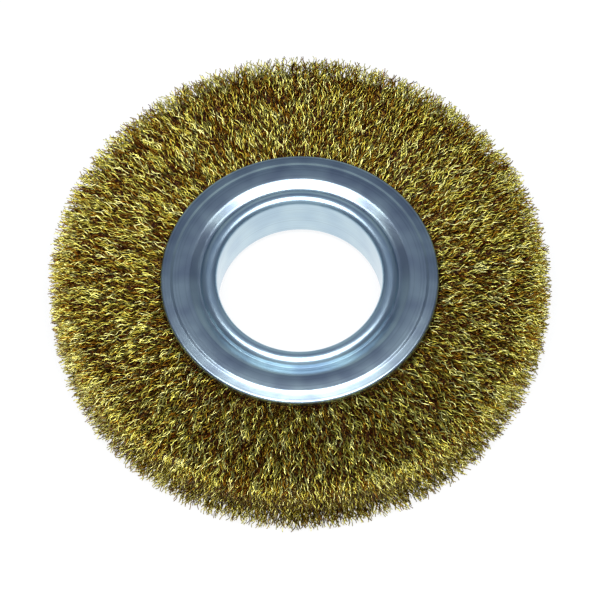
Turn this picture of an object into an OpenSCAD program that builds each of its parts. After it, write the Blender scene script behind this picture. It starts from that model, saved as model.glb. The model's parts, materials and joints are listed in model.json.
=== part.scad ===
// Crimped wire wheel brush.
// Thousands of crimped steel wires are folded in half over a retaining ring and clamped
// between two pressed side flanges, which a tubular sleeve with rolled lips holds together.
// The bore axis is Z, and the origin is the middle of the bore.

/* [Arbor sleeve] */
// Diameter of the bore
bore_d = 50.8; // [42:0.1:60]
// Length of the hub over the two rolled lips
hub_len = 20; // [16.8:0.1:24]
// Wall of the sleeve tube and of its rolled lips
sleeve_wall = 1; // [0.6:0.1:1.2]
// Radius of the rounded mouth of the bore
mouth_r = 2.3; // [1.4:0.1:2.6]
// Width of the flat ring on the crest of each lip
lip_land = 0.4; // [0.3:0.1:1]
// Width of each rolled lip, from the bore to its edge
lip_w = 5.2; // [4.6:0.1:6]
// Drop of the rolled lip from its crest to its edge
lip_drop = 1.8; // [1.4:0.1:2]

/* [Side flanges] */
// Thickness of the flange sheet
flange_t = 1; // [0.7:0.05:1.2]
// Depth of the flange seat under the crest of the lip
seat_drop = 2.3; // [2.1:0.1:2.6]
// Width of the slope that climbs from the seat to the marking band
slope_w = 3.4; // [2.4:0.1:4]
// Depth of the flat marking band under the crest of the lip
band_drop = 1; // [0.6:0.1:1.4]
// Width of the flat marking band
band_w = 4.6; // [3:0.1:7]
// Depth of the outer ledge under the crest of the lip
ledge_drop = 1.4; // [1.2:0.1:2]
// Fall of the outer ledge towards the rounded edge
ledge_fall = 0.3; // [0:0.05:0.5]
// Width of the shoulder between the band and the ledge
shoulder_w = 1.1; // [0.8:0.1:1.6]
// Width of the outer ledge, with the rounded edge
ledge_w = 2.9; // [1.8:0.1:4]
// Reach of the turned-down edge below the seat, to the clamped wires
skirt_reach = 0.4; // [0.2:0.1:1]
// Rounding of the flange's outer edge
edge_r = 1; // [0.5:0.05:1.4]

/* [Retaining ring] */
// Gap between the sleeve tube and the wires folded round the ring
fold_gap = 4.8; // [3:0.1:6]
// Thickness of the ring's wire
ring_wire_d = 4; // [3:0.1:5]

/* [Wire fill] */
// Diameter over the wire ends
brush_d = 153; // [146:1:160]
// Width over the wire ends
face_w = 22; // [20:0.1:24]
// Width of the packed fill at its widest
packed_w = 16.8; // [14:0.1:18]
// Thickness of the wires folded round the inside of the ring
fold_t = 2.8; // [1.6:0.1:3]
// Radial length of the loose wire ends outside the packed fill
loose_len = 8.5; // [6:0.5:11]
// Longest wire length that stands free on the side faces
free_len = 10.5; // [8:0.5:12]
// Number of wire pairs round the wheel
wires_round = 140; // [100:2:148]
// Rows of wires on each side face
face_rows = 4; // [3:1:4]
// Rows of wires across the rim
rim_rows = 4; // [3:1:4]

/* [Hidden] */
$fn = 128;

// Radii and heights of the hub
bore_r = bore_d / 2;
sleeve_r = bore_r + sleeve_wall;
crest_z = hub_len / 2;
seat_z = crest_z - seat_drop;
band_z = crest_z - band_drop;
ledge_z = crest_z - ledge_drop;
edge_z = ledge_z - ledge_fall;
clamp_z = seat_z - flange_t - skirt_reach;
lip_r = bore_r + lip_w;

// Steps of each rounded stretch of a profile
bend_steps = 10;
// Share of a pressed slope that is eased at each end
ease = 0.2;
// Play between the sleeve and the hole of a flange
sleeve_play = 0.1;
// Play between the ring and the wires folded over it
ring_play = 0.15;
// Flat ring of the flange that the lip's foot stands on, past the lip
seat_margin = 0.4;
// Play between the edge of a flange and the first free wires
edge_play = 0.3;
// Rounding of the packed rim, from its corners to its middle
rim_bulge = 2;

// Points of an arc in the section plane, as radius and height
function arc(c, r, from, to) = [
    for (k = [0 : bend_steps])
        let (a = from + (to - from) * k / bend_steps)
        [c[0] + r * cos(a), c[1] + r * sin(a)]
];

// Share of a slope's rise at a share of its run: straight, with an eased start and end
function rise(u) =
    u < ease ? u * u / (2 * ease * (1 - ease)) :
    u > 1 - ease ? 1 - pow(1 - u, 2) / (2 * ease * (1 - ease)) :
    (u - ease / 2) / (1 - ease);

// Points of a pressed slope from one height to another
function slope(r0, z0, r1, z1) = [
    for (k = [0 : bend_steps])
        let (u = k / bend_steps)
        [r0 + (r1 - r0) * u, z0 + (z1 - z0) * rise(u)]
];

function lowered(path, drop) = [for (p = path) [p[0], p[1] - drop]];
function reversed(path) = [for (k = [len(path) - 1 : -1 : 0]) path[k]];
function mirrored(path) = [for (p = reversed(path)) [p[0], -p[1]]];

// Rolled lip of the sleeve: mouth, crest and curl down to the foot on the flange
mouth_c = [bore_r + mouth_r, crest_z - mouth_r];
curl_run = lip_r - mouth_c[0] - lip_land;
curl_r = (pow(curl_run, 2) + pow(lip_drop, 2)) / (2 * lip_drop);
curl_c = [mouth_c[0] + lip_land, crest_z - curl_r];
curl_end = 90 - asin(curl_run / curl_r);
under_r = curl_r - sleeve_wall;
under_end = asin((seat_z - curl_c[1]) / under_r);

lip_top = concat(
    arc(mouth_c, mouth_r, 180, 90),
    arc(curl_c, curl_r, 90, curl_end),
    [[lip_r, seat_z]]
);
lip_under = concat(
    arc(curl_c, under_r, under_end, 90),
    arc(mouth_c, mouth_r - sleeve_wall, 90, 180)
);

module bore_sleeve() {
    color("lightsteelblue")
    rotate_extrude()
    polygon(concat(lip_top, lip_under, mirrored(lip_under), mirrored(lip_top)));
}

// Pressed flange: seat under the lip, raised marking band, shoulder, ledge and turned-down edge
flange_in_r = sleeve_r + sleeve_play;
seat_r = lip_r + seat_margin;
band_r = seat_r + slope_w;
shoulder_r = band_r + band_w;
ledge_r = shoulder_r + shoulder_w;
flange_r = ledge_r + ledge_w;
flange_pressing = concat(
    [[flange_in_r, seat_z]],
    slope(seat_r, seat_z, band_r, band_z),
    slope(shoulder_r, band_z, ledge_r, ledge_z)
);
skirt_r = flange_r - flange_t;

module flange() {
    rotate_extrude()
    polygon(concat(
        flange_pressing,
        arc([flange_r - edge_r, edge_z - edge_r], edge_r, 90, 0),
        [[flange_r, clamp_z], [skirt_r, clamp_z], [skirt_r, edge_z - flange_t]],
        reversed(lowered(flange_pressing, flange_t))
    ));
}

module front_flange() {
    color("lightsteelblue") flange();
}

module rear_flange() {
    color("lightsteelblue") mirror([0, 0, 1]) flange();
}

// Ring of heavy wire inside the fold of the bristle wires
fill_in_r = sleeve_r + fold_gap;
ring_wire_r = ring_wire_d / 2;
ring_r = fill_in_r + fold_t + ring_wire_r;

module ring(wire_r) {
    rotate_extrude() translate([ring_r, 0]) circle(r = wire_r, $fn = 48);
}

module retaining_ring() {
    color("silver") ring(ring_wire_r);
}

// Section of the packed fill, as radius and height: one row of points for each ring
// of wire roots, down the front face, over the rim and back along the rear face
packed_z = packed_w / 2;
packed_r = brush_d / 2 - loose_len;
start_r = flange_r + edge_play;
face_out_r = packed_r - rim_bulge;

face_path = [
    for (k = [0 : face_rows])
        let (u = k / face_rows)
        [start_r + (face_out_r - start_r) * u, clamp_z + (packed_z - clamp_z) * sin(90 * u)]
];
rim_path = [
    for (k = [1 : rim_rows - 1])
        let (a = 90 - 180 * k / rim_rows)
        [face_out_r + rim_bulge * cos(a), packed_z * (1 - 2 * k / rim_rows)]
];
bristle_path = concat(face_path, rim_path, mirrored(face_path));
rows = len(bristle_path) - 1;
section = concat([[fill_in_r, clamp_z]], bristle_path, [[fill_in_r, -clamp_z]]);
rings = len(section);
pitch = 360 / wires_round;

// Uneven packing: roots and wire ends are shifted by a share of the pitch and of the row
root_shift = 0.15;
row_shift = 0.2;
end_shift = 0.3;
lift_shift = 0.25;
// Least row height that a wire end's lift is a share of
least_row = 0.8;
// Shortest wire end, as a share of the longest
shortest = 0.72;
wire_count = 2 * rows * wires_round;
root_turn = rands(-root_shift, root_shift, rings * wires_round, 11);
root_row = rands(-row_shift, row_shift, rings * wires_round, 15);
end_turn = rands(-end_shift, end_shift, wire_count, 12);
end_lift = rands(-lift_shift, lift_shift, wire_count, 13);
end_len = rands(shortest, 1, wire_count, 14);
// Half angle at which the wires spread sideways, up to the width over their ends
spread = asin((face_w / 2 - packed_z - lift_shift * least_row) / free_len);

function at(r, turn, z) = [r * cos(turn), r * sin(turn), z];
function root_index(row, k) = row * wires_round + (k % wires_round);

// Point of the section between two rows
function between(row, share) =
    section[row] + (section[row + sign(share)] - section[row]) * abs(share);

root_points = [
    for (row = [0 : rings - 1])
        for (k = [0 : wires_round - 1])
            let (w = root_index(row, k))
            let (loose = row > 1 && row < rings - 2 ? 1 : 0)
            let (p = between(row, root_row[w] * loose))
            at(p[0], (k + (row % 2) / 2 + root_turn[w] * loose) * pitch, p[1])
];

// The two root triangles of each cell between two neighbouring rings
function cell(row, k) = (row % 2 == 0)
    ? [[root_index(row, k), root_index(row, k + 1), root_index(row + 1, k)],
       [root_index(row, k + 1), root_index(row + 1, k + 1), root_index(row + 1, k)]]
    : [[root_index(row, k), root_index(row + 1, k + 1), root_index(row + 1, k)],
       [root_index(row, k), root_index(row, k + 1), root_index(row + 1, k + 1)]];

// End of the wire that grows from one root triangle
function wire_end(t, w) =
    let (m = (root_points[t[0]] + root_points[t[1]] + root_points[t[2]]) / 3)
    let (z = [for (corner = t) root_points[corner][2]])
    let (lift = end_lift[w] * max(least_row, max(z) - min(z)))
    let (r = norm([m[0], m[1]]))
    let (turn = atan2(m[1], m[0]))
    let (lean = spread * m[2] / packed_z)
    let (reach = min(free_len, (brush_d / 2 - r) / cos(lean)) * end_len[w])
    at(r + reach * cos(lean), turn + end_turn[w] * pitch, m[2] + reach * sin(lean) + lift);

wire_roots = [
    for (row = [1 : rows])
        for (k = [0 : wires_round - 1])
            for (t = cell(row, k)) t
];
wire_ends = [for (w = [0 : wire_count - 1]) wire_end(wire_roots[w], w)];
first_end = len(root_points);
wire_faces = [
    for (w = [0 : wire_count - 1])
        for (s = [0 : 2]) [wire_roots[w][s], wire_roots[w][(s + 1) % 3], first_end + w]
];
clamped_faces = [
    for (row = [0, rings - 2])
        for (k = [0 : wires_round - 1])
            for (t = cell(row, k)) t
];
inner_faces = [
    for (k = [0 : wires_round - 1])
        let (a = root_index(rings - 1, k), b = root_index(rings - 1, k + 1))
        let (c = root_index(0, k), d = root_index(0, k + 1))
        for (t = [[a, b, c], [b, d, c]]) t
];

module wire_fill() {
    color("darkgoldenrod")
    difference() {
        polyhedron(
            points = concat(root_points, wire_ends),
            faces = concat(wire_faces, clamped_faces, inner_faces)
        );
        ring(ring_wire_r + ring_play);
    }
}

bore_sleeve();
front_flange();
rear_flange();
retaining_ring();
wire_fill();
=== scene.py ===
import json
import math

import bpy
from mathutils import Matrix, Vector


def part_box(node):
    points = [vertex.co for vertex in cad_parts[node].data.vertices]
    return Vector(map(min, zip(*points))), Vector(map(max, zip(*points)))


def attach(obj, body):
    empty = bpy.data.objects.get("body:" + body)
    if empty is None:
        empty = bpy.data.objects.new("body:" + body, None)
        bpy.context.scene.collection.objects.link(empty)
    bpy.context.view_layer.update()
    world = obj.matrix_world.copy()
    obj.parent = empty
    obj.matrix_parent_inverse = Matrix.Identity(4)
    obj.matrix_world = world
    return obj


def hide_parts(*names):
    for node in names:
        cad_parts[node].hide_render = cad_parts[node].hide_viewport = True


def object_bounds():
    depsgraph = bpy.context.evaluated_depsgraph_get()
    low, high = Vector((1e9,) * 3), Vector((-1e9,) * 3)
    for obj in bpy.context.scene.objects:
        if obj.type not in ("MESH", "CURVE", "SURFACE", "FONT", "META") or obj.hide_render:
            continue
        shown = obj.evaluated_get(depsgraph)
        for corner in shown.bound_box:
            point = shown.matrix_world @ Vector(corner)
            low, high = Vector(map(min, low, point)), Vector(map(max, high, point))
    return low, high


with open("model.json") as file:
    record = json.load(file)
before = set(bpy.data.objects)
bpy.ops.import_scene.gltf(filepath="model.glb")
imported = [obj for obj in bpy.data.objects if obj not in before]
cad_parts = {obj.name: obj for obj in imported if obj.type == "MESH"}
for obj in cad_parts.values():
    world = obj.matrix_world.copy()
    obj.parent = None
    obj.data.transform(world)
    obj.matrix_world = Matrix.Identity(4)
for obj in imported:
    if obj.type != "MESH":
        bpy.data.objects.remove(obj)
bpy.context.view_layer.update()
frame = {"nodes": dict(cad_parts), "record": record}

mm = 0.001  # the frame is in metres
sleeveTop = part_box("bore_sleeve")[1]
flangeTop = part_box("front_flange")[1]
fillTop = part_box("wire_fill")[1]
boreR = frame["record"]["mounts"][0]["dims"]["r_mm"]
lipR = sleeveTop.x / mm
crestZ = sleeveTop.z / mm
flangeR = flangeTop.x / mm
bandZ = flangeTop.z / mm
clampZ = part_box("front_flange")[0].z / mm


def linear(hexColour, alpha=1.0):
    # sRGB hex to linear light
    parts = [int(hexColour[i:i + 2], 16) / 255 for i in (1, 3, 5)]
    light = [c / 12.92 if c <= 0.04045 else ((c + 0.055) / 1.055) ** 2.4 for c in parts]
    return (*light, alpha)


def addNode(tree, kind, inputs=None, **settings):
    # inputs: socket name or number to a value, or to the output socket that feeds it
    node = tree.nodes.new(kind)
    for name, value in settings.items():
        setattr(node, name, value)
    for key, value in (inputs or {}).items():
        socket = node.inputs[key]
        if isinstance(value, bpy.types.NodeSocket):
            tree.links.new(value, socket)
        else:
            socket.default_value = value
    return node


def setTones(ramp, tones):
    # fills a colour ramp from pairs of a position and a colour, in order
    stops = ramp.color_ramp.elements
    for stop, (position, colour) in ((stops[0], tones[0]), (stops[1], tones[-1])):
        stop.position, stop.color = position, linear(colour)
    for position, colour in tones[1:-1]:
        stops.new(position).color = linear(colour)


def newMaterial(name):
    material = bpy.data.materials.new(name)
    material.use_nodes = True
    material.node_tree.nodes.clear()
    return material, material.node_tree


def keepPiece(piece, nodes=()):
    bpy.context.scene.collection.objects.link(piece)
    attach(piece, "root")
    if nodes:
        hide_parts(*nodes)
    return piece


# Materials

zinc = {
    # two tints, roughness and strength of the rings' bump
    "rolled": ("#a5bac5", "#9ab0bf", 0.3, 0.45),    # lips, burnished by the rolling tool
    "pressed": ("#9fb1b8", "#8695a3", 0.28, 0.4),   # flanges, with a bluer passivation
    "mottle": 2.5 * mm,       # grain of the plated sheet
    "patches": 9.0 * mm,      # slow change of the passivation's colour
    "patchEdges": (0.35, 0.65),
    "lathe": 0.7 * mm,        # rings left by rolling and pressing, coarser than real so that they show
    "bump": 0.016 * mm,
    "grain": 0.4,             # strength of the mottle's bump
    "lines": 0.12,            # how much the rings darken the plating
    "lineEdges": (0.3, 0.5),
    "roughSpread": (-0.005, 0.01),
}


def zincPlatedSteel(finish):
    # steel, zinc plated: satin, slightly blue, with fine concentric lines
    base, shade, roughness, ringBumps = zinc[finish]
    material, tree = newMaterial("zinc plated steel, " + finish)
    place = addNode(tree, "ShaderNodeTexCoord").outputs["Object"]
    axes = addNode(tree, "ShaderNodeSeparateXYZ", {0: place})
    flat = addNode(tree, "ShaderNodeCombineXYZ", {0: axes.outputs[0], 1: axes.outputs[1]})
    radius = addNode(tree, "ShaderNodeVectorMath", {0: flat.outputs[0]}, operation="LENGTH")
    across = addNode(tree, "ShaderNodeMath", {0: radius.outputs["Value"], 1: axes.outputs[2]},
                     operation="ADD")
    rings = addNode(tree, "ShaderNodeTexNoise", {"W": across.outputs[0], "Scale": 1 / zinc["lathe"],
                                                 "Detail": 1.0}, noise_dimensions="1D")
    mottle = addNode(tree, "ShaderNodeTexNoise", {"Vector": place, "Scale": 1 / zinc["mottle"],
                                                  "Detail": 1.0})
    cloud = addNode(tree, "ShaderNodeTexNoise", {"Vector": place, "Scale": 1 / zinc["patches"],
                                                 "Detail": 1.0})
    patchy = addNode(tree, "ShaderNodeMapRange", {0: cloud.outputs["Fac"], 1: zinc["patchEdges"][0],
                                                  2: zinc["patchEdges"][1]})
    tint = addNode(tree, "ShaderNodeMix", {0: patchy.outputs[0], 6: linear(base), 7: linear(shade)},
                   data_type="RGBA")
    lines = addNode(tree, "ShaderNodeMapRange", {0: rings.outputs["Fac"], 1: zinc["lineEdges"][0],
                                                 2: zinc["lineEdges"][1], 3: 1.0 - zinc["lines"], 4: 1.0})
    lined = addNode(tree, "ShaderNodeVectorMath", {0: tint.outputs[2], 3: lines.outputs[0]},
                    operation="SCALE")
    rough = addNode(tree, "ShaderNodeMapRange", {0: mottle.outputs["Fac"], 1: 0.3, 2: 0.7,
                                                 3: roughness + zinc["roughSpread"][0],
                                                 4: roughness + zinc["roughSpread"][1]})
    ringBump = addNode(tree, "ShaderNodeBump", {"Height": rings.outputs["Fac"], "Strength": ringBumps,
                                                "Distance": zinc["bump"]})
    grainBump = addNode(tree, "ShaderNodeBump", {"Height": mottle.outputs["Fac"], "Strength": zinc["grain"],
                                                 "Distance": zinc["bump"] * 2,
                                                 "Normal": ringBump.outputs[0]})
    metal = addNode(tree, "ShaderNodeBsdfPrincipled",
                    {"Base Color": lined.outputs[0], "Metallic": 1.0, "Roughness": rough.outputs[0],
                     "Normal": grainBump.outputs[0]})
    addNode(tree, "ShaderNodeOutputMaterial", {0: metal.outputs[0]})
    return material


wireFinish = {
    "tones": [(0.0, "#4c2008"), (0.24, "#8e6419"), (0.46, "#b9ab40"), (0.7, "#dcd66a"), (1.0, "#efe99c")],
    "cut": "#84755a",         # steel at the cut ends, dulled by brass dust
    "cutStart": 0.9,          # share of a wire's length where its brass ends
    "cutMix": 0.55,           # how bare the very end is
    "shade": "#2c1002",       # painted shade: the colour that darkens wires deep in the fill
    "roughness": 0.31,
}


def brassedWire():
    # crimped steel wire with a thin brass coat: drawn, so bright along its length
    material, tree = newMaterial("brassed crimped wire")
    tone = addNode(tree, "ShaderNodeAttribute", attribute_name="wireTone")
    along = addNode(tree, "ShaderNodeAttribute", attribute_name="wireAlong")
    lit = addNode(tree, "ShaderNodeAttribute", attribute_name="wirePaintedLight")
    ramp = addNode(tree, "ShaderNodeValToRGB", {0: tone.outputs["Fac"]})
    setTones(ramp, wireFinish["tones"])
    end = addNode(tree, "ShaderNodeMapRange", {0: along.outputs["Fac"], 1: wireFinish["cutStart"], 2: 1.0,
                                               3: 0.0, 4: wireFinish["cutMix"]})
    colour = addNode(tree, "ShaderNodeMix", {0: end.outputs[0], 6: ramp.outputs[0],
                                             7: linear(wireFinish["cut"])}, data_type="RGBA")
    # painted shade: wires deep in the fill are darkened in colour, mixed by their stored share of painted
    # light
    paintedShadeColour = addNode(tree, "ShaderNodeMix", {0: 1.0, 6: colour.outputs[2], 7: linear(wireFinish["shade"])},
                     data_type="RGBA", blend_type="MULTIPLY")
    seen = addNode(tree, "ShaderNodeMix", {0: lit.outputs["Fac"], 6: paintedShadeColour.outputs[2],
                                           7: colour.outputs[2]}, data_type="RGBA")
    metal = addNode(tree, "ShaderNodeBsdfPrincipled",
                    {"Base Color": seen.outputs[2], "Metallic": 1.0,
                     "Roughness": wireFinish["roughness"]})
    addNode(tree, "ShaderNodeOutputMaterial", {0: metal.outputs[0]})
    return material


depthFinish = {
    # painted shade: dark colours for the inside, where the light doesn't reach
    "tones": [(0.45, "#1a0500"), (0.54, "#4e2504"), (0.61, "#8a7018"), (0.7, "#d6c86c")],
    "strand": 0.36 * mm,      # width of one strand, a little coarser than real so that it shows
    "stretch": 0.25,          # strands run long and radial
    "sway": 2.0 * mm,         # how far the crimp moves a strand sideways
    "countR": 0.8,            # share of the wheel's radius where strands have that width
    "metallic": 0.85,         # brass, with some dust; its shade is painted into the tones
    "roughness": 0.5,
}


def packedWire():
    # the inside of the fill, seen through gaps: radial strands of the same wire, darkened in colour as
    # painted shade
    material, tree = newMaterial("packed wire with painted shade")
    place = addNode(tree, "ShaderNodeTexCoord").outputs["Object"]
    axes = addNode(tree, "ShaderNodeSeparateXYZ", {0: place})
    flat = addNode(tree, "ShaderNodeCombineXYZ", {0: axes.outputs[0], 1: axes.outputs[1]})
    radius = addNode(tree, "ShaderNodeVectorMath", {0: flat.outputs[0]}, operation="LENGTH")
    heading = addNode(tree, "ShaderNodeVectorMath", {0: flat.outputs[0]}, operation="NORMALIZE")
    arc = addNode(tree, "ShaderNodeVectorMath", {0: heading.outputs[0], 3: fillTop.x * depthFinish["countR"]},
                  operation="SCALE")
    loose = addNode(tree, "ShaderNodeTexNoise", {"Vector": place, "Scale": 1 / (fill["crimp"] * mm),
                                                 "Detail": 1.0})
    sway = addNode(tree, "ShaderNodeVectorMath",
                   {0: loose.outputs["Color"], 1: (depthFinish["sway"],) * 3, 2: arc.outputs[0]},
                   operation="MULTIPLY_ADD")
    turn = addNode(tree, "ShaderNodeSeparateXYZ", {0: sway.outputs[0]})
    out = addNode(tree, "ShaderNodeMath", {0: radius.outputs["Value"], 1: depthFinish["stretch"]},
                  operation="MULTIPLY")
    sideways = addNode(tree, "ShaderNodeMath", {0: axes.outputs[2], 1: out.outputs[0]},
                       operation="ADD")
    point = addNode(tree, "ShaderNodeCombineXYZ", {0: turn.outputs[0], 1: turn.outputs[1],
                                                   2: sideways.outputs[0]})
    strands = addNode(tree, "ShaderNodeTexNoise", {"Vector": point.outputs[0], "Detail": 3.0,
                                                   "Scale": 1 / depthFinish["strand"]})
    ramp = addNode(tree, "ShaderNodeValToRGB", {0: strands.outputs["Fac"]})
    setTones(ramp, depthFinish["tones"])
    bump = addNode(tree, "ShaderNodeBump", {"Height": strands.outputs["Fac"], "Strength": 1.0,
                                            "Distance": depthFinish["strand"]})
    metal = addNode(tree, "ShaderNodeBsdfPrincipled",
                    {"Base Color": ramp.outputs[0], "Metallic": depthFinish["metallic"],
                     "Roughness": depthFinish["roughness"], "Normal": bump.outputs[0]})
    addNode(tree, "ShaderNodeOutputMaterial", {0: metal.outputs[0]})
    return material


ringFinish = {
    "tone": "#8d8e90",
    "grain": 2.5 * mm,
    "roughness": (0.3, 0.5),
}


def drawnSteel():
    # plain drawn steel wire of the hidden retaining ring: grey, with a soft sheen
    material, tree = newMaterial("drawn steel")
    place = addNode(tree, "ShaderNodeTexCoord").outputs["Object"]
    noise = addNode(tree, "ShaderNodeTexNoise", {"Vector": place, "Scale": 1 / ringFinish["grain"],
                                                 "Detail": 3.0})
    rough = addNode(tree, "ShaderNodeMapRange", {0: noise.outputs["Fac"], 3: ringFinish["roughness"][0],
                                                 4: ringFinish["roughness"][1]})
    metal = addNode(tree, "ShaderNodeBsdfPrincipled",
                    {"Base Color": linear(ringFinish["tone"]), "Metallic": 1.0,
                     "Roughness": rough.outputs[0]})
    addNode(tree, "ShaderNodeOutputMaterial", {0: metal.outputs[0]})
    return material


# Hub: the flanges and the sleeve, turned finely from the sections of the solids

hub = {
    "sleeveWall": 1.0,
    "mouthR": 2.3,
    "lipLand": 0.4,
    "lipDrop": 1.8,
    "seatDrop": 2.3,
    "sheet": 1.0,
    "seatMargin": 0.4,
    "slope": 3.4,
    "band": 4.6,
    "shoulder": 1.1,
    "ledgeDrop": 1.4,
    "ledgeFall": 0.3,
    "edgeR": 1.0,
    "ease": 0.2,
    "play": 0.1,
    "steps": 10,              # of each rounded stretch
    "turns": 200,             # round the axis
    "sharp": 35,              # degrees, past which an edge stays crisp
}


def arcPoints(centre, r, start, end):
    angles = [math.radians(start + (end - start) * k / hub["steps"]) for k in range(hub["steps"] + 1)]
    return [(centre[0] + r * math.cos(a), centre[1] + r * math.sin(a)) for a in angles]


def slopePoints(r0, z0, r1, z1):
    # a pressed slope: straight, with an eased start and end
    ease = hub["ease"]
    points = []
    for k in range(hub["steps"] + 1):
        u = k / hub["steps"]
        rise = (u - ease / 2) / (1 - ease)
        if u < ease:
            rise = u * u / (2 * ease * (1 - ease))
        elif u > 1 - ease:
            rise = 1 - (1 - u) ** 2 / (2 * ease * (1 - ease))
        points.append((r0 + (r1 - r0) * u, z0 + (z1 - z0) * rise))
    return points


def turnedPiece(name, section, material, turns):
    # revolves a closed section, given as radius and height in mm, about the bore axis
    count = len(section)
    points = []
    for k in range(turns):
        a = 2 * math.pi * k / turns
        points += [(r * math.cos(a) * mm, r * math.sin(a) * mm, z * mm) for r, z in section]
    faces = []
    for k in range(turns):
        here, after = k * count, (k + 1) % turns * count
        for j in range(count):
            n = (j + 1) % count
            faces.append((here + j, after + j, after + n, here + n))
    mesh = bpy.data.meshes.new(name)
    mesh.from_pydata(points, [], faces)
    area = sum(section[j - 1][0] * section[j][1] - section[j][0] * section[j - 1][1]
               for j in range(count))
    if area < 0:  # the section ran clockwise, so the faces point inwards
        mesh.flip_normals()
    mesh.shade_smooth()
    mesh.set_sharp_from_angle(angle=math.radians(hub["sharp"]))
    mesh.materials.append(material)
    return bpy.data.objects.new(name, mesh)


def sleeveSection():
    mouth = (boreR + hub["mouthR"], crestZ - hub["mouthR"])
    run = lipR - mouth[0] - hub["lipLand"]
    curlR = (run ** 2 + hub["lipDrop"] ** 2) / (2 * hub["lipDrop"])
    curl = (mouth[0] + hub["lipLand"], crestZ - curlR)
    seatZ = crestZ - hub["seatDrop"]
    underR = curlR - hub["sleeveWall"]
    underEnd = math.degrees(math.asin((seatZ - curl[1]) / underR))
    top = arcPoints(mouth, hub["mouthR"], 180, 90)
    top += arcPoints(curl, curlR, 90, 90 - math.degrees(math.asin(run / curlR)))
    top += [(lipR, seatZ)]
    under = arcPoints(curl, underR, underEnd, 90)
    under += arcPoints(mouth, hub["mouthR"] - hub["sleeveWall"], 90, 180)
    upper = top + under
    return upper + [(r, -z) for r, z in reversed(upper)]


def flangeSection(side):
    seatZ = crestZ - hub["seatDrop"]
    ledgeZ = crestZ - hub["ledgeDrop"]
    edgeZ = ledgeZ - hub["ledgeFall"]
    seatR = lipR + hub["seatMargin"]
    bandR = seatR + hub["slope"]
    shoulderR = bandR + hub["band"]
    pressing = [(boreR + hub["sleeveWall"] + hub["play"], seatZ)]
    pressing += slopePoints(seatR, seatZ, bandR, bandZ)
    pressing += slopePoints(shoulderR, bandZ, shoulderR + hub["shoulder"], ledgeZ)
    skirtR = flangeR - hub["sheet"]
    section = pressing + arcPoints((flangeR - hub["edgeR"], edgeZ - hub["edgeR"]), hub["edgeR"], 90, 0)
    section += [(flangeR, clampZ), (skirtR, clampZ), (skirtR, edgeZ - hub["sheet"])]
    section += [(r, z - hub["sheet"]) for r, z in reversed(pressing)]
    return [(r, z * side) for r, z in section]


def buildHub():
    rolled, pressed = zincPlatedSteel("rolled"), zincPlatedSteel("pressed")
    for name, section, material, node in (("boreSleeve", sleeveSection(), rolled, "bore_sleeve"),
                                          ("frontFlange", flangeSection(1), pressed, "front_flange"),
                                          ("rearFlange", flangeSection(-1), pressed, "rear_flange")):
        keepPiece(turnedPiece(name, section, material, hub["turns"]), [node])
    ring = frame["nodes"]["retaining_ring"]
    ring.data.materials.clear()
    ring.data.materials.append(drawnSteel())
    print("hub: sleeve and two flanges")


# Wire fill: a packed inside with painted shade, and the crimped wires round it

fill = {
    "startR": 43.3,           # where the wires leave the flange
    "spread": 0.158,          # slope of the side face
    "cornerR": 69.0,          # where the side face starts to round off
    "corner": 0.036,          # how fast it rounds off
    "inside": 1.1,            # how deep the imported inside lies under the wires
    "rimR": 72.5,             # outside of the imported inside
    "innerR": 31.4,
    "clampPlay": 0.1,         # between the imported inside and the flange
    "underFlange": 1.0,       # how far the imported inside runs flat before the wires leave
    "edges": [(1.5, 0.0), (0.4, 1.2), (0.0, 3.5)],  # its rounded rim: distances in from rimR and down
    "sideSteps": 16,
    "turns": 180,
    "thickness": 0.18,        # radius of a wire, a little coarser than real so that it shows
    "crimp": 3.3,             # length of one crimp
    "crimpHeight": 0.42,
    "layers": 2,              # pieces that the face wires and the rim wires are split into
    "sideShare": 0.985,       # how near to a side face its wires start
    "seeds": {"face": 10, "stray": 70, "rim": 40},
}


def faceHeight(r):
    # height of the side face over the middle plane at a radius
    rounding = fill["corner"] * max(0.0, r - fill["cornerR"]) ** 2
    return clampZ + (r - fill["startR"]) * fill["spread"] - rounding


def packedSection():
    steps = fill["sideSteps"]
    startR, edgeR = fill["startR"], fill["rimR"] - fill["edges"][0][0]
    radii = [startR + (edgeR - startR) * k / steps for k in range(steps + 1)]
    flatZ = clampZ - fill["clampPlay"]
    top = [(fill["innerR"], flatZ), (startR - fill["underFlange"], flatZ)]
    top += [(r, faceHeight(r) - fill["inside"]) for r in radii]
    edge = faceHeight(edgeR) - fill["inside"]
    top += [(fill["rimR"] - inset, edge - drop) for inset, drop in fill["edges"][1:]]
    return top + [(r, -z) for r, z in reversed(top)]


def addInput(tree, kind, name, value):
    socket = tree.interface.new_socket(name=name, in_out="INPUT", socket_type=kind)
    socket.default_value = value
    return socket


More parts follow.
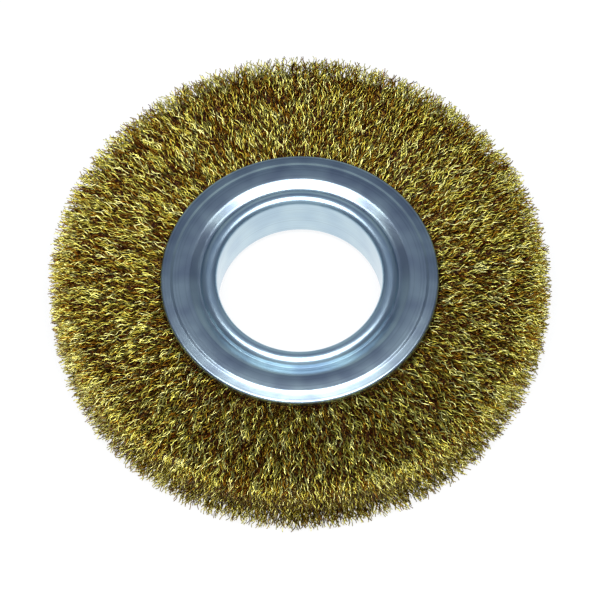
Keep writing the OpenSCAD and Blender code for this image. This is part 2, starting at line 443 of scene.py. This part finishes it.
wireInputs = {
    "Wires": ("NodeSocketInt", 100),
    "Points": ("NodeSocketInt", 18),
    "Seed": ("NodeSocketInt", 1),
    "Root radius low": ("NodeSocketFloat", 43.0 * mm),
    "Root radius high": ("NodeSocketFloat", 66.0 * mm),
    "Length low": ("NodeSocketFloat", 11.0 * mm),
    "Length high": ("NodeSocketFloat", 17.0 * mm),
    "Tip radius": ("NodeSocketFloat", 76.6 * mm),
    "Raggedness": ("NodeSocketFloat", 1.4 * mm),
    "Side low": ("NodeSocketFloat", 1.0),
    "Side high": ("NodeSocketFloat", 1.0),
    "Root depth": ("NodeSocketFloat", 1.3 * mm),
    "Tip depth": ("NodeSocketFloat", 0.8 * mm),
    "Arch": ("NodeSocketFloat", 0.9 * mm),
    "Sideways": ("NodeSocketFloat", 0.4),
    "Lock size": ("NodeSocketFloat", 3.5 * mm),
    "Lock lean": ("NodeSocketFloat", 1.0),
    "Lock reach": ("NodeSocketFloat", 1.0 * mm),
    # painted light and shade: the depth and the radius from which a wire keeps its full colour
    "Lit depth": ("NodeSocketFloat", 1.1 * mm),
    "Lit from": ("NodeSocketFloat", 69.0 * mm),
    "Lit reach": ("NodeSocketFloat", 6.0 * mm),
    "Curl": ("NodeSocketFloat", 0.9 * mm),
    "Tone": ("NodeSocketFloat", 0.5),
    "Bare ends": ("NodeSocketFloat", 0.8),
    "Thickness": ("NodeSocketFloat", fill["thickness"] * mm),
    "Crimp length": ("NodeSocketFloat", fill["crimp"] * mm),
    "Crimp height": ("NodeSocketFloat", fill["crimpHeight"] * mm),
}


wireSpread = {
    "place": 0.95,            # how far a wire moves from its even place round the wheel
    "root": (0.5, 1.0),       # shares of the root depth
    "arch": (0.3, 1.0),       # shares of the arch
    "crimp": (0.75, 1.15),    # shares of the crimp height
    "plane": 1.3,             # radians that a crimp's plane turns either way
    "short": 0.8,             # under 1, so that few wires reach the full length
    "tone": 0.9,              # of single wires
    "lockTone": 1.1,          # of whole locks
}


def wireTree(material):
    # Each wire is a row of points from a root to a tip, moved by its own crimp and curl,
    # then joined to a curve and given a round section.
    tree = bpy.data.node_groups.new("crimped wires", "GeometryNodeTree")
    tree.is_modifier = True
    for name, (kind, value) in wireInputs.items():
        addInput(tree, kind, name, value)
    tree.interface.new_socket(name="Geometry", in_out="OUTPUT", socket_type="NodeSocketGeometry")
    given = addNode(tree, "NodeGroupInput").outputs
    seedStep = [0]

    def op(kind, *values):
        return addNode(tree, "ShaderNodeMath", dict(enumerate(values)), operation=kind).outputs[0]

    def move(kind, *values):
        return addNode(tree, "ShaderNodeVectorMath", dict(enumerate(values)), operation=kind).outputs[0]

    index = addNode(tree, "GeometryNodeInputIndex").outputs[0]
    wire = op("FLOOR", op("DIVIDE", op("ADD", index, 0.5), given["Points"]))
    step = op("SUBTRACT", index, op("MULTIPLY", wire, given["Points"]))
    along = op("DIVIDE", step, op("SUBTRACT", given["Points"], 1.0))

    def chance(low, high):
        # one random value for each wire
        seedStep[0] += 1
        node = addNode(tree, "FunctionNodeRandomValue",
                       {2: low, 3: high, "ID": wire,
                        "Seed": op("ADD", given["Seed"], float(100 * seedStep[0]))})
        return node.outputs[1]

    def height(r):
        over = op("MAXIMUM", op("SUBTRACT", r, fill["cornerR"] * mm), 0.0)
        rounding = op("MULTIPLY", op("MULTIPLY", over, over), fill["corner"] / mm)
        rise = op("MULTIPLY_ADD", op("SUBTRACT", r, fill["startR"] * mm), fill["spread"], clampZ * mm)
        return op("SUBTRACT", rise, rounding)

    turn = op("MULTIPLY", op("DIVIDE", op("ADD", wire, chance(0.0, wireSpread["place"])),
                             given["Wires"]), 2 * math.pi)
    radial = addNode(tree, "ShaderNodeCombineXYZ", {0: op("COSINE", turn), 1: op("SINE", turn)}).outputs[0]
    tangent = addNode(tree, "ShaderNodeCombineXYZ",
                      {0: op("MULTIPLY", op("SINE", turn), -1.0), 1: op("COSINE", turn)}).outputs[0]
    axial = addNode(tree, "ShaderNodeCombineXYZ", {2: 1.0}).outputs[0]

    # roots lie evenly over the side face, so their squared radius is even
    rootLow = op("MULTIPLY", given["Root radius low"], given["Root radius low"])
    rootHigh = op("MULTIPLY", given["Root radius high"], given["Root radius high"])
    rootR = op("SQRT", op("ADD", rootLow, op("MULTIPLY", op("SUBTRACT", rootHigh, rootLow),
                                             chance(0.0, 1.0))))
    side = op("SINE", op("MULTIPLY", chance(given["Side low"], given["Side high"]), math.pi / 2))

    # neighbours lean the same way and reach as far: they lie in locks
    spot = addNode(tree, "ShaderNodeVectorMath", {0: radial, 3: rootR}, operation="SCALE").outputs[0]
    level = addNode(tree, "ShaderNodeCombineXYZ",
                    {2: op("MULTIPLY", side, clampZ * mm)}).outputs[0]
    locks = addNode(tree, "ShaderNodeTexNoise",
                    {"Vector": move("ADD", spot, level), "Scale": op("DIVIDE", 1.0, given["Lock size"]),
                     "Detail": 1.0})
    lock = addNode(tree, "FunctionNodeSeparateColor", {0: locks.outputs["Color"]}).outputs
    reach = chance(given["Length low"], given["Length high"])
    ragged = op("MULTIPLY", op("POWER", chance(0.0, 1.0), wireSpread["short"]), given["Raggedness"])
    short = op("ADD", ragged, op("MULTIPLY", lock[2], given["Lock reach"]))
    tipR = op("MINIMUM", op("ADD", rootR, reach), op("SUBTRACT", given["Tip radius"], short))
    rootZ = op("MULTIPLY", side, op("SUBTRACT", height(rootR),
                                    op("MULTIPLY", chance(*wireSpread["root"]), given["Root depth"])))
    tipZ = op("MULTIPLY", side, op("SUBTRACT", height(tipR),
                                   op("MULTIPLY", chance(0.0, 1.0), given["Tip depth"])))
    span = op("SUBTRACT", tipR, rootR)
    leaning = op("ADD", op("MULTIPLY", given["Sideways"], chance(-1.0, 1.0)),
                 op("MULTIPLY", given["Lock lean"], op("SUBTRACT", lock[0], 0.5)))
    lateral = op("MULTIPLY", span, leaning)

    # straight line from root to tip
    r = op("MULTIPLY_ADD", span, along, rootR)
    z = op("MULTIPLY_ADD", op("SUBTRACT", tipZ, rootZ), along, rootZ)
    arch = op("MULTIPLY", op("MULTIPLY", op("SINE", op("MULTIPLY", along, math.pi)), given["Arch"]),
              op("MULTIPLY", side, chance(*wireSpread["arch"])))

    # crimp: a wave in a plane of its own, and a slow curl towards the tip
    wave = op("ADD", op("MULTIPLY", op("DIVIDE", op("MULTIPLY", span, along), given["Crimp length"]),
                        2 * math.pi), chance(0.0, 2 * math.pi))
    swing = op("MULTIPLY", op("SINE", wave),
               op("MULTIPLY", given["Crimp height"], chance(*wireSpread["crimp"])))
    plane = chance(-wireSpread["plane"], wireSpread["plane"])
    curl = op("MULTIPLY", op("MULTIPLY", along, along), op("MULTIPLY", given["Curl"], chance(-1.0, 1.0)))
    t = op("ADD", op("ADD", op("MULTIPLY", lateral, along), curl), op("MULTIPLY", swing, op("COSINE", plane)))
    h = op("ADD", op("ADD", z, arch), op("MULTIPLY", swing, op("SINE", plane)))
    flat = addNode(tree, "ShaderNodeVectorMath", {0: radial, 3: r}, operation="SCALE").outputs[0]
    off = addNode(tree, "ShaderNodeVectorMath", {0: tangent, 3: t}, operation="SCALE").outputs[0]
    up = addNode(tree, "ShaderNodeVectorMath", {0: axial, 3: h}, operation="SCALE").outputs[0]
    place = move("ADD", move("ADD", flat, off), up)

    # painted light and shade: how much of its own colour a point keeps, none deep in the fill, all at its
    # faces and rim; the rest is painted shade
    sunk = op("SUBTRACT", height(r), op("ABSOLUTE", h))
    byFace = op("SUBTRACT", 1.0, op("DIVIDE", sunk, given["Lit depth"]))
    byRim = op("DIVIDE", op("SUBTRACT", r, given["Lit from"]), given["Lit reach"])
    paintedLightShare = op("MINIMUM", op("MAXIMUM", op("MAXIMUM", byFace, byRim), 0.0), 1.0)

    count = op("MULTIPLY", given["Wires"], given["Points"])
    points = addNode(tree, "GeometryNodePoints", {"Count": count})
    placed = addNode(tree, "GeometryNodeSetPosition", {"Geometry": points.outputs[0], "Position": place})
    toned = addNode(tree, "GeometryNodeStoreNamedAttribute",
                    {"Geometry": placed.outputs[0], "Name": "wireTone",
                     "Value": op("MULTIPLY_ADD", chance(-0.5, 0.5), wireSpread["tone"],
                                 op("MULTIPLY_ADD", op("SUBTRACT", lock[1], 0.5), wireSpread["lockTone"],
                                    given["Tone"]))},
                    data_type="FLOAT", domain="POINT")
    marked = addNode(tree, "GeometryNodeStoreNamedAttribute",
                     {"Geometry": toned.outputs[0], "Name": "wireAlong",
                      "Value": op("MULTIPLY", along, given["Bare ends"])},
                     data_type="FLOAT", domain="POINT")
    lit = addNode(tree, "GeometryNodeStoreNamedAttribute",
                  {"Geometry": marked.outputs[0], "Name": "wirePaintedLight", "Value": paintedLightShare},
                  data_type="FLOAT", domain="POINT")
    curves = addNode(tree, "GeometryNodePointsToCurves",
                     {0: lit.outputs[0], "Curve Group ID": wire, "Weight": step})
    profile = addNode(tree, "GeometryNodeCurvePrimitiveCircle",
                      {"Resolution": 3, "Radius": given["Thickness"]})
    tubes = addNode(tree, "GeometryNodeCurveToMesh",
                    {0: curves.outputs[0], 1: profile.outputs[0], "Fill Caps": True})
    smooth = addNode(tree, "GeometryNodeSetShadeSmooth", {"Geometry": tubes.outputs[0]})
    real = addNode(tree, "GeometryNodeRealizeInstances", {0: smooth.outputs[0]})
    coated = addNode(tree, "GeometryNodeSetMaterial", {"Geometry": real.outputs[0], "Material": material})
    addNode(tree, "NodeGroupOutput", {0: coated.outputs[0]})
    return tree


def wirePiece(name, tree, material, values):
    # evaluates the node tree once and keeps the result as a plain mesh
    holder = bpy.data.objects.new(name + "Source", bpy.data.meshes.new(name + "Source"))
    bpy.context.scene.collection.objects.link(holder)
    modifier = holder.modifiers.new("wires", "NODES")
    modifier.node_group = tree
    sockets = {item.name: item.identifier for item in tree.interface.items_tree if item.in_out == "INPUT"}
    for key, value in values.items():
        modifier[sockets[key]] = value
    evaluated = holder.evaluated_get(bpy.context.evaluated_depsgraph_get())
    mesh = bpy.data.meshes.new_from_object(evaluated)
    mesh.name = name
    holder.modifiers.remove(modifier)
    bpy.data.objects.remove(holder)
    if not mesh.materials:
        mesh.materials.append(material)
    mesh.calc_loop_triangles()
    print("wires:", name, len(mesh.loop_triangles), "triangles")
    return bpy.data.objects.new(name, mesh)


faceWires = {
    "Wires": 4200,
    "Points": 6,
    "Root radius low": 41.2 * mm,
    "Root radius high": 73.0 * mm,
    "Length low": 3.6 * mm,
    "Length high": 5.6 * mm,
    "Root depth": 1.3 * mm,
    "Tip depth": 1.2 * mm,
    "Arch": 1.0 * mm,
}
strayWires = {
    "Wires": 30,
    "Points": 22,
    "Root radius low": 43.5 * mm,
    "Root radius high": 64.0 * mm,
    "Length low": 10.0 * mm,
    "Length high": 16.0 * mm,
    "Root depth": 0.6 * mm,
    "Tip depth": 0.3 * mm,
    "Arch": 1.0 * mm,
    "Curl": 3.0 * mm,
}
rimWires = {
    "Wires": 3400,
    "Points": 8,
    "Root radius low": 69.0 * mm,
    "Root radius high": 71.5 * mm,
    "Length low": 8.0 * mm,
    "Length high": 9.0 * mm,
    "Tip radius": 78.5 * mm,
    "Raggedness": 2.6 * mm,
    "Side low": -1.0,
    "Side high": 1.0,
    "Root depth": 0.6 * mm,
    "Tip depth": -1.4 * mm,
    "Arch": 0.0,
    "Sideways": 0.35,
    "Lock reach": 1.2 * mm,
    "Curl": 0.8 * mm,
    # painted light: the rim's wires keep their full colour from further in, and take a lighter tone than the
    # face's, against the shade they show end on
    "Lit from": 67.5 * mm,
    "Tone": 0.55,
    "Bare ends": 1.0,
    "Thickness": 0.15 * mm,
}


def buildFill():
    packed = turnedPiece("packedWires", packedSection(), packedWire(), fill["turns"])
    keepPiece(packed, ["wire_fill"])
    material = brassedWire()
    tree = wireTree(material)
    seeds = fill["seeds"]
    layers = range(1, fill["layers"] + 1)

    def keepWires(name, values, seed):
        keepPiece(wirePiece(name, tree, material, dict(values, Seed=seed)))

    for side, sign in (("front", 1), ("rear", -1)):
        start, end = sorted((float(sign), sign * fill["sideShare"]))
        for layer in layers:
            values = dict(faceWires, **{"Side low": start, "Side high": end})
            keepWires(f"{side}FaceWires{layer}", values, seeds["face"] * layer + sign)
        strays = dict(strayWires, **{"Side low": float(sign), "Side high": float(sign)})
        keepWires(side + "StrayWires", strays, seeds["stray"])
    for layer in layers:
        keepWires(f"rimWires{layer}", rimWires, seeds["rim"] + layer)
    print("fill: packed inside and wires")


# Stage, light and camera

studio = {
    "floor": "#f4f4f4",
    "softbox": 22.0,          # W, wide overhead panel
    "boxSize": (0.95, 1.1),
    "boxHeight": 1.0,
    "boxForward": 0.43,       # how far the panel hangs towards the viewer
    "horizon": ("#b4bec3", 0.55),        # pale walls of the light tent, up to this height
    "middle": ("#525e78", 0.74, 0.94),   # dim upper walls, between these heights
    "top": ("#e8eef4", 0.98),
    "side": ("#485066", 0.35, 0.75, 0.85),  # dim walls left and right: start, full and strength
    "world": 1.4,
    "floorHalf": 4.0,         # metres
    "floorWhite": 0.8,        # how far the camera sees the floor as plain white
    "floorGlow": 1.4,         # what the metal sees of the floor
}


def buildWorld():
    world = bpy.data.worlds.new("light tent")
    bpy.context.scene.world = world
    world.use_nodes = True
    tree = world.node_tree
    tree.nodes.clear()
    heading = addNode(tree, "ShaderNodeTexCoord").outputs["Generated"]
    axes = addNode(tree, "ShaderNodeSeparateXYZ", {0: heading})
    ramp = addNode(tree, "ShaderNodeValToRGB", {0: axes.outputs[2]})
    horizon, horizonTo = studio["horizon"]
    middle, middleFrom, middleTo = studio["middle"]
    top, topFrom = studio["top"]
    setTones(ramp, [(horizonTo, horizon), (middleFrom, middle), (middleTo, middle), (topFrom, top)])
    side, sideFrom, sideFull, sideMix = studio["side"]
    sideways = addNode(tree, "ShaderNodeMath", {0: axes.outputs[0]}, operation="ABSOLUTE")
    amount = addNode(tree, "ShaderNodeMapRange", {0: sideways.outputs[0], 1: sideFrom, 2: sideFull,
                                                  3: 0.0, 4: sideMix})
    walls = addNode(tree, "ShaderNodeMix", {0: amount.outputs[0], 6: ramp.outputs[0],
                                            7: linear(side)}, data_type="RGBA")
    tent = addNode(tree, "ShaderNodeBackground", {0: walls.outputs[2], 1: studio["world"]})
    white = addNode(tree, "ShaderNodeBackground", {0: (1.0, 1.0, 1.0, 1.0), 1: 1.0})
    path = addNode(tree, "ShaderNodeLightPath")
    shown = addNode(tree, "ShaderNodeMixShader", {0: path.outputs["Is Camera Ray"], 1: tent.outputs[0],
                                                  2: white.outputs[0]})
    addNode(tree, "ShaderNodeOutputWorld", {0: shown.outputs[0]})


def buildFloor():
    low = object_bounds()[0].z
    half = studio["floorHalf"]
    mesh = bpy.data.meshes.new("floor")
    mesh.from_pydata([(-half, -half, low), (half, -half, low), (half, half, low), (-half, half, low)],
                     [], [(0, 1, 2, 3)])
    floor = bpy.data.objects.new("floor", mesh)
    bpy.context.scene.collection.objects.link(floor)
    material, tree = newMaterial("pale floor")
    matte = addNode(tree, "ShaderNodeBsdfDiffuse", {0: linear(studio["floor"])})
    glow = addNode(tree, "ShaderNodeEmission", {0: (1.0, 1.0, 1.0, 1.0), 1: 1.0})
    path = addNode(tree, "ShaderNodeLightPath")
    share = addNode(tree, "ShaderNodeMath", {0: path.outputs["Is Camera Ray"], 1: studio["floorWhite"]},
                    operation="MULTIPLY")
    shown = addNode(tree, "ShaderNodeMixShader", {0: share.outputs[0], 1: matte.outputs[0],
                                                  2: glow.outputs[0]})
    mirrored = addNode(tree, "ShaderNodeEmission", {0: (1.0, 1.0, 1.0, 1.0), 1: studio["floorGlow"]})
    seen = addNode(tree, "ShaderNodeMixShader", {0: path.outputs["Is Glossy Ray"], 1: shown.outputs[0],
                                                 2: mirrored.outputs[0]})
    addNode(tree, "ShaderNodeOutputMaterial", {0: seen.outputs[0]})
    mesh.materials.append(material)


def buildLight():
    lamp = bpy.data.lights.new("overhead softbox", "AREA")
    lamp.shape = "RECTANGLE"
    lamp.size, lamp.size_y = studio["boxSize"]
    lamp.energy = studio["softbox"]
    panel = bpy.data.objects.new("overhead softbox", lamp)
    panel.location = (0.0, -studio["boxForward"], studio["boxHeight"])
    panel.rotation_euler = (math.atan2(-studio["boxForward"], studio["boxHeight"]), 0.0, 0.0)
    bpy.context.scene.collection.objects.link(panel)


camera = {
    "elevation": 63.10,       # degrees over the wheel's plane
    "distance": 1.5,
    "focalPixels": 4824.0,    # in a frame 600 pixels wide
    "frame": 600,
    "aim": (-0.05 * mm, 0.0, -7.03 * mm),
    "roll": 1.42,
    "sensor": 36.0,           # mm, only sets the unit of the lens
    "clip": (0.05, 20.0),
}


def buildCamera():
    data = bpy.data.cameras.new("camera")
    data.sensor_width = camera["sensor"]
    data.lens = camera["focalPixels"] / camera["frame"] * data.sensor_width
    data.clip_start, data.clip_end = camera["clip"]
    e, roll = math.radians(camera["elevation"]), math.radians(camera["roll"])
    back = Vector((0.0, -math.cos(e), math.sin(e)))
    right, up = Vector((1.0, 0.0, 0.0)), Vector((0.0, math.sin(e), math.cos(e)))
    turnedRight = right * math.cos(roll) - up * math.sin(roll)
    turnedUp = right * math.sin(roll) + up * math.cos(roll)
    view = bpy.data.objects.new("camera", data)
    view.matrix_world = Matrix.Translation(Vector(camera["aim"]) + back * camera["distance"]) @ Matrix(
        (turnedRight, turnedUp, back)).transposed().to_4x4()
    bpy.context.scene.collection.objects.link(view)
    bpy.context.scene.camera = view


buildCamera()
buildHub()
buildFill()
buildFloor()
buildWorld()
buildLight()
bpy.context.scene.view_settings.view_transform = "Standard"
